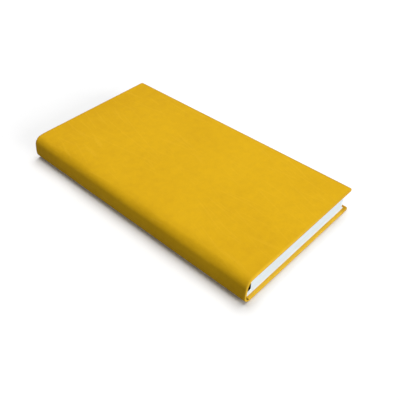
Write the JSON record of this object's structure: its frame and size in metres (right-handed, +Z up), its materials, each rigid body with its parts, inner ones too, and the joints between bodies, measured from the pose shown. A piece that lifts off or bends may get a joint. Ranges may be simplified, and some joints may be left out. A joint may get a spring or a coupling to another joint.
{
  "type": "journal",
  "caption": "Slim closed journal in a soft mustard leatherette case with a hollow rounded spine and white pages; both covers open.",
  "frame": {"origin": "middle of the underside of the closed journal, on the surface that its back cover rests on", "axes": "+X from the spine to the fore-edge, +Y from the tail to the head, +Z up through the front cover"},
  "size_m": [0.091, 0.17, 0.015],
  "materials": {
    "leatherette": "matte, finely grained",
    "board": "grey solid card",
    "endpaper": "smooth uncoated",
    "pages": "uncoated, cut edges",
    "lining": "glued lining paper"
  },
  "bodies": {
    "book_block": {"page_block": "pages", "spine_lining": "lining", "front_flyleaf": "endpaper", "back_flyleaf": "endpaper", "spine_strip": "board", "leatherette_spine": "leatherette"},
    "front_cover": {"leatherette_front": "leatherette", "front_board": "board", "front_pastedown": "endpaper"},
    "back_cover": {"leatherette_back": "leatherette", "back_board": "board", "back_pastedown": "endpaper"}
  },
  "joints": [
    {"name": "front_cover_hinge", "type": "hinge", "parent": "book_block", "child": "front_cover", "pos_m": [-0.04009, 0, 0.015], "axis": [0, -1, 0], "range_deg": [0, 179]},
    {"name": "back_cover_hinge", "type": "hinge", "parent": "book_block", "child": "back_cover", "pos_m": [-0.0413, 0, 0], "axis": [0, 1, 0], "range_deg": [0, 179]}
  ]
}
